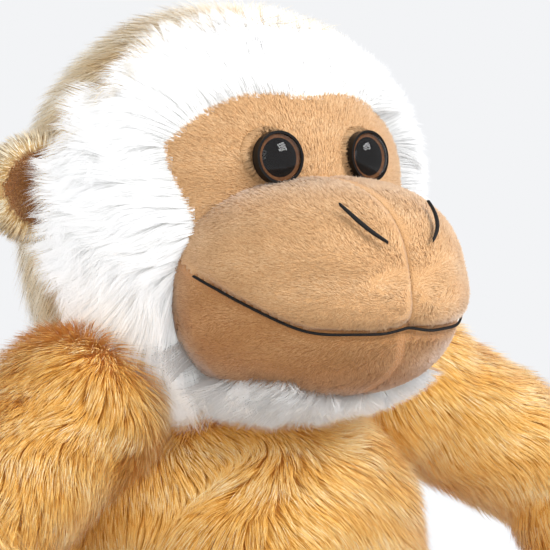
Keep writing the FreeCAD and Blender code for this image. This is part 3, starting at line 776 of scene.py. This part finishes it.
EAR_HALF = np.array([13, 4.5, 12.5]) * MM
EAR_CUT = np.array([53, 45, 51]) * MM
ear_grid = rounded(61, 90, EAR_HALF, 2.2).reshape(-1, 3)
ear_faces = grid_faces(61, 90)
radial = np.hypot(ear_grid[:, 0], ear_grid[:, 2]) / EAR_HALF[0]
hollow = np.where(ear_grid[:, 1] < 0, 6.0 * MM * np.clip(1 - (radial / 0.82) ** 2, 0, 1), 0)
ear_form = ear_grid + hollow[:, None] * np.array([0, 1, 0])
centres = ear_form[ear_faces].mean(1)
inner = (centres[:, 1] < 2.5 * MM) & (ear_grid[ear_faces].mean(1)[:, 1] < 0)
inner &= np.hypot(centres[:, 0], centres[:, 2]) / EAR_HALF[0] < 0.74
for side, sign in SIDES:
    place = np.array([sign * 58, 10, 183]) * MM
    points = turned(ear_form * np.array([sign, 1, 1]), math.radians(18 * sign)) + place
    order = ear_faces if sign > 0 else ear_faces[:, ::-1]
    out_of_head = np.sum(((points[order].mean(1) - HEAD_MIDDLE) / EAR_CUT) ** 2, 1) > 1
    for part, chosen, material, pile, slot, per_mm2, length, lean in (
            ("ear_inner_" + side, inner, ear_backing, ear_tones, "ear_plush", 12, 2.2, (46, 76)),
            ("ear_back_" + side, ~inner, tan_backing, tan_tones, "tan_fur", 7, 5.5, (35, 75))):
        cloth = order[chosen & out_of_head]
        sew(lined(part + "_skin", points, cloth, material, 0.9 * MM), "head", part)
        roots, normals = scatter(points, cloth, per_mm2, rng)
        comb = unit(roots - place + np.array([0, 0.004, -0.002]))
        grow(part + "_pile", roots, normals, comb, length * MM, STRAND, pile, "head", slot, rng,
             lean=lean, lock=2 * MM, gather=0.2, segments=2, softness=0.6)

# %% [markdown]
# The body is a pear, wide where it sits and narrow under the chin. Its outline is
# a few rings, smoothed between, and then closed to a flat seat. The golden pile
# runs down and outwards, and the deeper tones near the roots show in the partings.

# %% Torso form
TORSO_PROFILE = ((0, 41, 32), (6, 50, 39), (14, 54, 43), (38, 58, 47), (72, 54, 43),
                 (98, 51, 36), (110, 44, 29), (118, 34, 22), (123, 21, 15))
LIMB_BALLS = {"neck_nod": 22.2, "arm_swing_right": 16, "arm_swing_left": 16,
              "leg_swing_right": 18, "leg_swing_left": 18}


def smooth_profile(profile, rows, passes=6):
    """Half width and half depth at even heights, rounded between the given rings."""
    levels = np.linspace(profile[0][0], profile[-1][0], rows)
    given = np.array(profile, float)
    widths = np.interp(levels, given[:, 0], given[:, 1])
    depths = np.interp(levels, given[:, 0], given[:, 2])
    for _ in range(passes):
        for sizes in (widths, depths):
            sizes[1:-1] = (sizes[:-2] + 2 * sizes[1:-1] + sizes[2:]) / 4
    return levels, widths, depths


levels, widths, depths = smooth_profile(TORSO_PROFILE, 100)
turn = np.linspace(0, 2 * math.pi, 150, endpoint=False)[None, :]
torso_grid = np.stack([widths[:, None] * np.cos(turn), depths[:, None] * np.sin(turn),
                       levels[:, None] * np.ones_like(turn)], -1) * MM * np.array([INSET, INSET, 1])
torso_points = torso_grid.reshape(-1, 3)
crumple = ripple(torso_points, 45 * MM, 11)[:, :1] * 0.8 * MM
torso_points = torso_points + unit(torso_points * np.array([1, 1, 0])) * crumple
torso_faces = grid_faces(100, 150)
torso_centres = torso_points[torso_faces].mean(1)
outside_balls = np.ones(len(torso_faces), bool)
for joint, radius in LIMB_BALLS.items():
    outside_balls &= np.linalg.norm(torso_centres - pivots[joint], axis=1) > radius * MM
in_front = torso_centres[:, 1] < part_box("chest_panel")[1].y
torso_parts = {"chest_panel": in_front,
               "back_panel_right": ~in_front & (torso_centres[:, 0] < 0),
               "back_panel_left": ~in_front & (torso_centres[:, 0] >= 0)}
for panel, chosen in torso_parts.items():
    cloth = torso_faces[chosen & outside_balls]
    sew(lined(panel + "_skin", torso_points, cloth, gold_backing), "torso", panel)
    roots, normals = scatter(torso_points, cloth, 4.4 if panel == "chest_panel" else 2.8, rng)
    comb = unit(np.array([0, 0, -1.0]) + unit(roots * np.array([1, 1, 0])) * 0.35
                + ripple(roots, 26 * MM, 21) * 0.55)
    grow(panel + "_pile", roots, normals, comb, 12 * MM, STRAND, gold_tones, "torso",
         "golden_fur", rng, **GOLDEN_PILE)

# %% [markdown]
# The seat is a flat oval of the same cloth, turned in at its edge. Its pile is
# pressed flat by the weight of the toy, and it lies outwards.

# %% Seat
SEAT_HALF = np.array([40.5, 31.5, 1.0]) * MM
SEAT_LIFT = np.array([0, 0, 1.25 * MM])
seat_points = rounded(41, 120, SEAT_HALF, 4.0).reshape(-1, 3) + SEAT_LIFT
seat_points = seat_points + ripple(seat_points, 15 * MM, 17) * np.array([0, 0, 0.12]) * MM
seat_faces = grid_faces(41, 120)
seat_skin = mesh_piece("seat_panel_skin", seat_points, seat_faces, gold_backing)
sew(seat_skin, "torso", "seat_panel")
seat_below = unit(face_normals(seat_points, seat_faces))[:, 2] < -0.2
roots, normals = scatter(seat_points, seat_faces[seat_below], 2.0, rng)
grow("seat_panel_pile", roots, normals, unit(roots * np.array([1, 1, 0])), 5 * MM, STRAND,
     gold_tones, "torso", "golden_fur", rng, lean=(60, 84), lock=3.0 * MM, gather=0.3, floor=FLOOR)

# %% [markdown]
# A limb is a stuffed tube with a round top. Its grid follows a bone from joint to
# joint, so the pile can be combed along it. The tube is a little fuller in the
# middle than a straight cone, as filling makes it.

# %% Limbs
FOREARM_BONE = 70
LEG_BONE = 70


def fore_way(sign):
    """Direction from elbow to wrist."""
    return unit(np.array([0.02 * sign, -0.60, -0.80]))


def leg_way(sign):
    """Direction from hip to foot."""
    return unit(np.array([0.33 * sign, -0.943, -0.02]))


def stuffed_tube(start, end, cap, root, tip, swell=0.6, rows=70, columns=72):
    """Grid of a ball-topped tube from start to end, closed past its end; radii in metres."""
    way = unit(end - start)
    length = np.linalg.norm(end - start)
    first = unit(np.cross(way, np.array([0, 0, 1.0])))
    second = np.cross(way, first)
    reach = length + tip * 0.8
    ball_rise = np.linspace(0, math.pi / 2, rows // 3)
    end_rise = np.linspace(0, math.pi / 2, rows // 6 + 2)[1:]
    run = np.concatenate([-cap * np.cos(ball_rise), np.linspace(0, length, rows // 2)[1:],
                          length + (reach - length) * np.sin(end_rise)])
    radius = root + (tip - root) * np.clip(run / length, 0, 1)
    radius += swell * MM * np.sin(math.pi * np.clip(run / length, 0, 1))
    ball = np.sqrt(np.clip(cap ** 2 - run ** 2, 0, None))
    radius = np.where(run < 0, ball, np.maximum(radius, ball))
    past = np.clip((run - length) / (reach - length), 0, 1)
    radius = radius * np.sqrt(np.clip(1 - past ** 2, 0, 1))
    turn = np.linspace(0, 2 * math.pi, columns, endpoint=False)
    ring = np.cos(turn)[:, None] * first + np.sin(turn)[:, None] * second
    points = start + run[:, None, None] * way + radius[:, None, None] * ring[None]
    return points.reshape(-1, 3), grid_faces(len(run), columns)[:, ::-1]


def limb(part, side, start, end, radii, per_mm2, length, tip_short=1.0, segments=2):
    """Skin and golden pile of a stretch of limb; radii of ball, root and tip in mm."""
    name = "%s_%s" % (part, side)
    cap, root, tip = [radius * MM for radius in radii]
    points, faces = stuffed_tube(start, end, cap, root, tip)
    facing = np.sum(face_normals(points, faces) * (points[faces].mean(1) - (start + end) / 2), 1)
    if facing.mean() < 0:
        faces = faces[:, ::-1]
    skin = lined(name + "_skin", points, faces, gold_backing)
    sew(skin, name, "%s_sleeve_%s" % (part, side))
    roots, normals = scatter(points, faces, per_mm2, rng)
    way = unit(end - start)
    along = np.clip((roots - start) @ way / np.linalg.norm(end - start), 0, 1)
    over_ball = np.clip(1 + (roots - start) @ way / cap, 0, 1)[:, None]
    comb = unit(way * over_ball + np.array([0, 0, -0.35]) * (3 - 2 * over_ball)
                + ripple(roots, 24 * MM, 31) * 0.4)
    grow(name + "_pile", roots, normals, comb, length * MM * (1 - (1 - tip_short) * along), STRAND,
         gold_tones, name, "golden_fur", rng, segments=segments, **GOLDEN_PILE)


for side, sign in SIDES:
    elbow = pivots["elbow_bend_" + side]
    hip = pivots["leg_swing_" + side]
    limb("upper_arm", side, pivots["arm_swing_" + side], elbow, (19.2, 17.5, 15.5), 4.3, 12,
         segments=3)
    limb("forearm", side, elbow, elbow + fore_way(sign) * FOREARM_BONE * MM, (15.6, 15, 11), 3.2, 11.5,
         tip_short=0.7)
    limb("leg", side, hip, hip + leg_way(sign) * LEG_BONE * MM, (20.2, 18.6, 13), 2.7, 11.5,
         tip_short=0.7)

# %% [markdown]
# Hands and feet are the same beige short pile as the face. Fingers and toes are
# not separate: they are pulled in with stitched lines, which press valleys into
# a mitten shape. Their axes follow the forearm and the leg. A foot is two pieces
# of one form, a sole and an upper, and a hand has its thumb as a form of its own.

# %% Hands and feet


def digits(points, half, count, depth, fade):
    """Press count lines between fingers or toes into the outer end of a form."""
    along = points[:, 2] / half[2]
    strength = np.clip((along - fade) / 0.35, 0, 1)
    sunk = points.copy()
    for k in range(count):
        centre = half[0] * (2 * (k + 1) / (count + 1) - 1)
        valley = np.exp(-((points[:, 0] - centre) / (1.3 * MM)) ** 2)
        sunk -= unit(points) * (valley * strength * depth)[:, None]
    return sunk


def plush_form(body, half, middle, axes, count, *parts):
    """A short-pile hand or foot; parts of the one form each stand for a node."""
    local = digits(rounded(45, 72, half, 2.3).reshape(-1, 3), half, count, 1.5 * MM, 0.15)
    points = middle + local @ axes
    faces = grid_faces(45, 72)
    if np.linalg.det(axes) < 0:
        faces = faces[:, ::-1]
    centres = local[faces].mean(1)
    for part, node, test in parts:
        cloth = faces[test(centres)]
        skin = lined(part + "_skin", points, cloth, face_backing, 1.0 * MM)
        sew(skin, body, node)
        roots, normals = scatter(points, cloth, 5, rng)
        comb = unit(axes[2] + ripple(roots, 12 * MM, 41) * 0.3)
        grow(part + "_pile", roots, normals, comb, 3.0 * MM, 0.24 * MM, face_tones, body,
             "hand_plush", rng, lock=1.5 * MM, floor=FLOOR, **SHORT_PILE)


def everywhere(centres):
    """Choose every face."""
    return np.ones(len(centres), bool)


def below_welt(centres):
    """Choose the faces of a foot under the seam between sole and upper."""
    return centres[:, 1] < -6 * MM


for side, sign in SIDES:
    forward = fore_way(sign)
    across = unit(np.cross(np.array([0, 0, 1.0]), forward))
    palm = np.cross(across, forward)
    hand_middle = pivots["elbow_bend_" + side] + forward * (FOREARM_BONE + 16) * MM
    plush_form("forearm_" + side, np.array([12.6, 8.2, 20.4]) * MM, hand_middle,
               np.array([across, palm, forward]), 3, ("hand_" + side, "hand_skin_" + side, everywhere))
    thumb_way = unit(forward * 0.75 - across * sign * 0.66)
    thumb_across = unit(np.cross(palm, thumb_way))
    plush_form("forearm_" + side, np.array([5, 5, 8.8]) * MM,
               hand_middle - across * sign * 11.5 * MM - forward * 1.0 * MM,
               np.array([thumb_across, np.cross(thumb_way, thumb_across), thumb_way]), 0,
               ("thumb_" + side, None, everywhere))
    foot_middle = pivots["leg_swing_" + side] + leg_way(sign) * (LEG_BONE + 8) * MM
    foot_middle = foot_middle + np.array([0, 0, 7.5]) * MM
    yaw, tilt = math.radians(19 * sign), math.radians(8)
    sideways = np.array([math.cos(yaw), math.sin(yaw), 0])
    ahead = (np.array([-math.sin(yaw), math.cos(yaw), 0]) * math.cos(tilt)
             + np.array([0, 0, math.sin(tilt)]))
    plush_form("leg_" + side, np.array([13.6, 11.6, 24.4]) * MM, foot_middle,
               np.array([sideways, ahead, np.cross(sideways, ahead)]), 4,
               ("foot_sole_" + side, "foot_sole_" + side, below_welt),
               ("foot_upper_" + side, "foot_upper_" + side, lambda c: ~below_welt(c)))

# %% [markdown]
# The neck hides under the ruff, but it bends with the head, so it has its own
# short white sleeve. A little pile on it keeps any gap soft.

# %% Neck
neck_points = rounded(49, 80, np.array([21.6, 21.6, 21.6]) * MM).reshape(-1, 3) + pivots["neck_nod"]
neck_faces = grid_faces(49, 80)
neck_centres = neck_points[neck_faces].mean(1)
neck_open = neck_centres[:, 2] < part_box("neck_sleeve")[1].z - 0.3 * MM
neck_skin = lined("neck_sleeve_skin", neck_points, neck_faces[neck_open], white_backing)
sew(neck_skin, "neck", "neck_sleeve")
at_back = neck_centres[:, 1] > pivots["neck_nod"][1]
for part, chosen, fibres, slot in (("front", ~at_back, white_tones, "white_fur"),
                                   ("back", at_back, tan_tones, "tan_fur")):
    roots, normals = scatter(neck_points, neck_faces[neck_open & chosen], 3, rng)
    comb = unit(np.array([0, 0, -1.0]) + normals * np.array([0.5, 0.5, 0])
                + ripple(roots, 12 * MM, 51) * 0.4)
    grow("neck_%s_pile" % part, roots, normals, comb, 9 * MM, 0.16 * MM, fibres, "neck", slot, rng,
         lean=(10, 55), segments=2)
print("strands in all:", pile_total)

# %% [markdown]
# The floor is a plain pale disc, and the room round it is evenly pale. The light
# is a large soft box in front and above, with a weaker one at the side and behind,
# as in a small product studio. The box lamp is square, so it shows as a square
# glint in the eyes.

# %% Studio
bpy.context.scene.view_settings.view_transform = "Standard"
studio = Recipe("studio paper", Roughness=0.9)
studio.two_tone(studio.noise(3.0, 2.0), paint(208, 209, 211), paint(213, 214, 216))
around = np.radians(np.linspace(0, 360, 96, endpoint=False))
rim = np.stack([np.cos(around), np.sin(around), np.zeros(96)], 1) * 0.7
backdrop = mesh_piece("backdrop", rim, [tuple(range(96))], studio.material, smooth=False)

world = bpy.data.worlds.new("soft room")
world.use_nodes = True
world.node_tree.nodes["Background"].inputs[0].default_value = paint(243, 244, 246)
world.node_tree.nodes["Background"].inputs[1].default_value = 1.0
bpy.context.scene.world = world


def look_at(thing, place, target):
    """Put a lamp or camera at a place and turn it to a target."""
    thing.location = place
    thing.rotation_euler = (Vector(target) - Vector(place)).to_track_quat("-Z", "Y").to_euler()


def soft_box(name, place, size, power):
    """A square lamp that faces the middle of the toy."""
    lamp = bpy.data.lights.new(name, "AREA")
    lamp.shape = "SQUARE"
    lamp.size = size
    lamp.energy = power
    lamp_object = bpy.data.objects.new(name, lamp)
    bpy.context.scene.collection.objects.link(lamp_object)
    look_at(lamp_object, place, (0, 0, 0.14))


soft_box("key box", (0.25, -0.75, 0.75), 0.42, 9.0)
soft_box("side box", (-0.9, -0.35, 0.45), 0.6, 2.5)
soft_box("rim box", (0.55, 0.6, 0.55), 0.4, 2.0)
print("lamps:", ", ".join(lamp.name for lamp in bpy.data.lights))

# %% [markdown]
# The camera stands to the toy's right and a little above its chin, close, with a
# long lens, so that the head and the chest fill the picture.

# %% Camera
VIEW_TURN = math.radians(-37)
VIEW_RISE = math.radians(4)
VIEW_WIDTH = 154 * MM
VIEW_DISTANCE = 0.62
camera = bpy.data.cameras.new("camera")
camera.sensor_width = 36
camera.lens = camera.sensor_width * VIEW_DISTANCE / VIEW_WIDTH
camera.clip_start = 0.01
camera_object = bpy.data.objects.new("camera", camera)
bpy.context.scene.collection.objects.link(camera_object)
rightward = Vector((math.cos(VIEW_TURN), math.sin(VIEW_TURN), 0))
target = Vector(HEAD_MIDDLE - np.array([0, 6, 0]) * MM) + rightward * 10.4 * MM
target = target + Vector((0, 0, -18.2 * MM))
away = Vector((math.sin(VIEW_TURN) * math.cos(VIEW_RISE),
               -math.cos(VIEW_TURN) * math.cos(VIEW_RISE), math.sin(VIEW_RISE)))
look_at(camera_object, target + away * VIEW_DISTANCE, target)
bpy.context.scene.camera = camera_object
print("camera looks at", [round(value, 4) for value in target])
